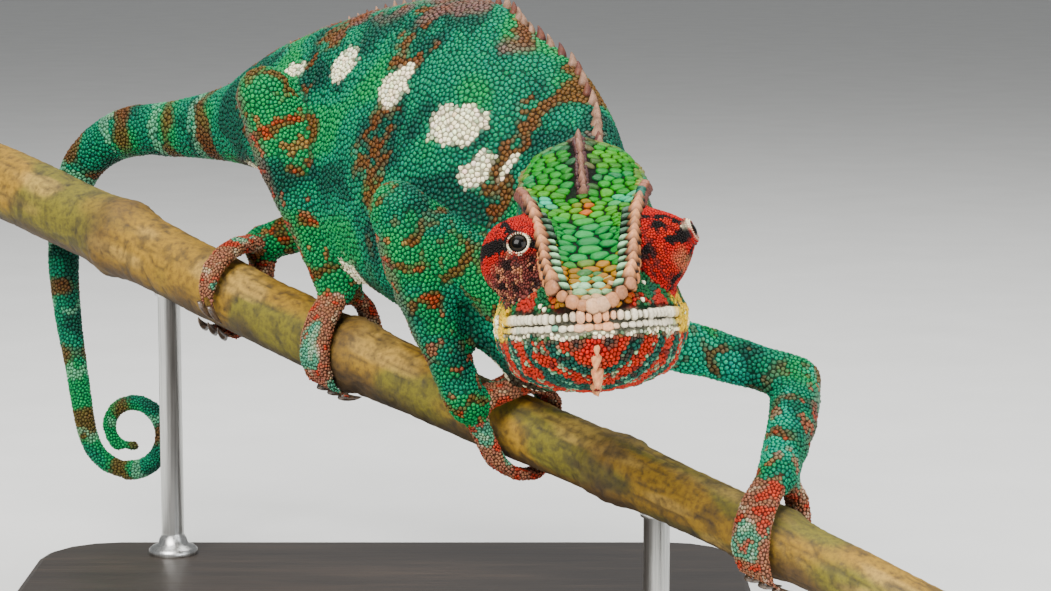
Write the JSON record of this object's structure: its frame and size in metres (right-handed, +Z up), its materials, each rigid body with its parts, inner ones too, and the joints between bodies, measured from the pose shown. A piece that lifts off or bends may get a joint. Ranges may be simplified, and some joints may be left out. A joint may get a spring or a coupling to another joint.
{
  "type": "panther chameleon",
  "caption": "Life-size panther chameleon on a cut branch with a flat stand: turreted eyes, crested casque, compressed body, gripping feet and a curled tail.",
  "frame": {"origin": "middle of the underside of the stand's plate, at the centre of the object's plan", "axes": "+X to the animal's left, +Y from its head toward its tail, +Z up"},
  "size_m": [0.2039, 0.2032, 0.134],
  "materials": {
    "head_skin": "green and turquoise scaly skin, satin, with beige and pinkish crests",
    "throat_skin": "orange-red granular skin with teal stripes, white lips and yellow mouth corners",
    "turret_skin": "red granular skin with dark bands and a cream ring, satin",
    "eye": "black, wet gloss",
    "body_skin": "teal granular skin with rust bars and cream blotches, satin",
    "foot_skin": "pinkish grey and teal granular skin with red spots and dark claws",
    "branch": "thin ochre bark, olive and brown below, matt",
    "stand_plate": "black-stained wood, satin lacquer",
    "stand_rod": "plain round steel rod"
  },
  "bodies": {
    "root": {"head": "head_skin", "casque": "head_skin", "lower_jaw": "throat_skin", "eye_turret_left": "turret_skin", "eye_left": "eye", "eye_turret_right": "turret_skin", "eye_right": "eye", "neck": "body_skin", "trunk": "body_skin", "tail_root": "body_skin", "tail_middle": "body_skin", "tail_hook": "body_skin", "tail_hang": "body_skin", "tail_curl": "body_skin", "arm_upper_left": "body_skin", "arm_fore_left": "body_skin", "thigh_left": "body_skin", "shank_left": "body_skin", "hand_inner_left": "foot_skin", "hand_outer_left": "foot_skin", "foot_inner_left": "foot_skin", "foot_outer_left": "foot_skin", "arm_upper_right": "body_skin", "arm_fore_right": "body_skin", "thigh_right": "body_skin", "shank_right": "body_skin", "hand_inner_right": "foot_skin", "hand_outer_right": "foot_skin", "foot_inner_right": "foot_skin", "foot_outer_right": "foot_skin", "perch_branch": "branch", "stand_base": "stand_plate", "stand_rod_front": "stand_rod", "stand_rod_back": "stand_rod"}
  },
  "joints": []
}
